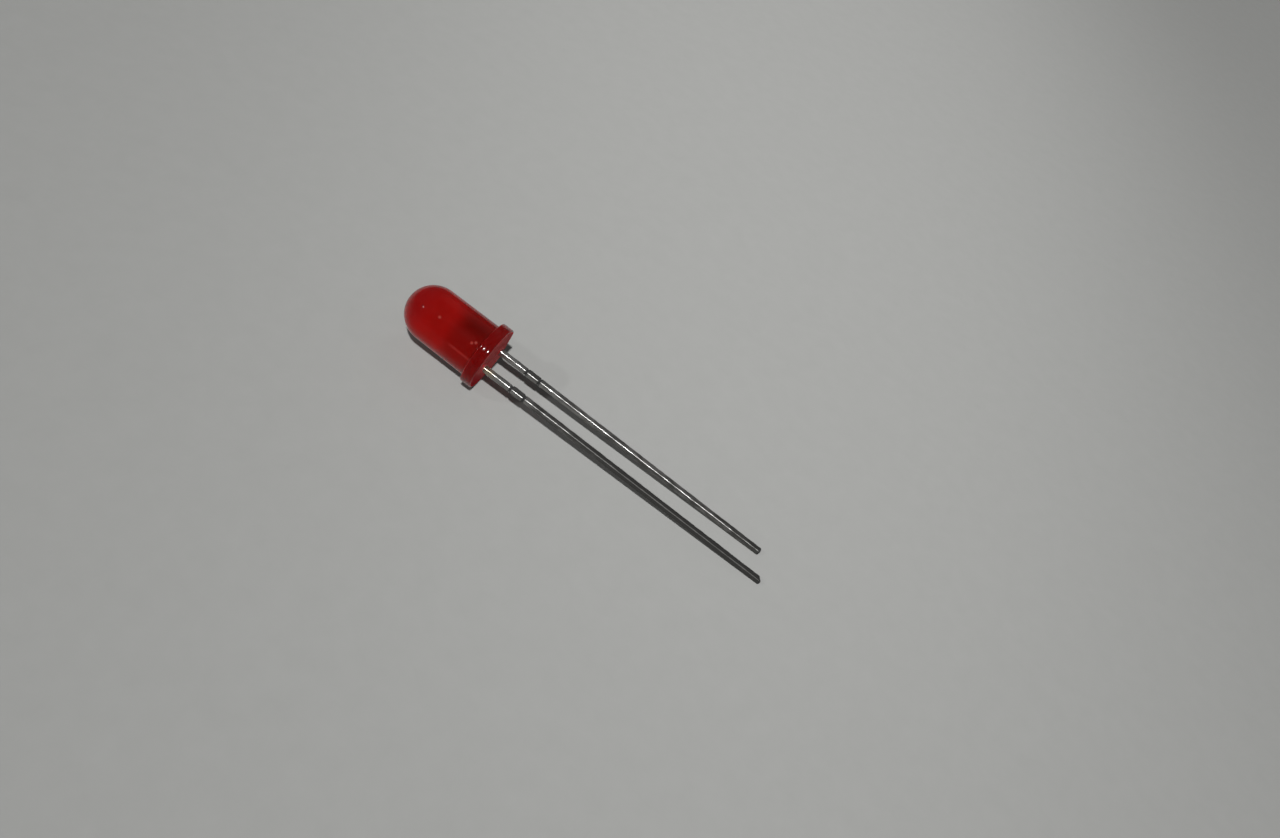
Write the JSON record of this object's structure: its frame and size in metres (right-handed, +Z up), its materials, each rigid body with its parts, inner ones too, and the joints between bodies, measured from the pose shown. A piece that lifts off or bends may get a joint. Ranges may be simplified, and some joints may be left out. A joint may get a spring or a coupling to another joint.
{
  "type": "through hole led",
  "caption": "Light emitting diode cast in a round-domed, flanged body of cloudy red epoxy, with straight square leads of unequal length for soldering through a circuit board.",
  "frame": {"origin": "middle of the underside of the bounding box, on the surface that the part lies on", "axes": "+Z up from that surface, +X from the dome towards the tips of the leads, cathode and flat of the flange on the +Y side"},
  "size_m": [0.037, 0.0056, 0.0059],
  "materials": {
    "red_epoxy": "glossy cast epoxy, deep red and cloudy with diffuser",
    "tinned_steel": "tinned, drawn lengthwise, slightly tarnished",
    "silver_adhesive": "silver filled adhesive",
    "chip": "sawn semiconductor",
    "gold_wire": "bright drawn gold"
  },
  "bodies": {
    "root": {"epoxy_lens": "red_epoxy", "cathode_lead": "tinned_steel", "anode_lead": "tinned_steel", "die_attach": "silver_adhesive", "led_chip": "chip", "bond_wire": "gold_wire"}
  },
  "joints": []
}
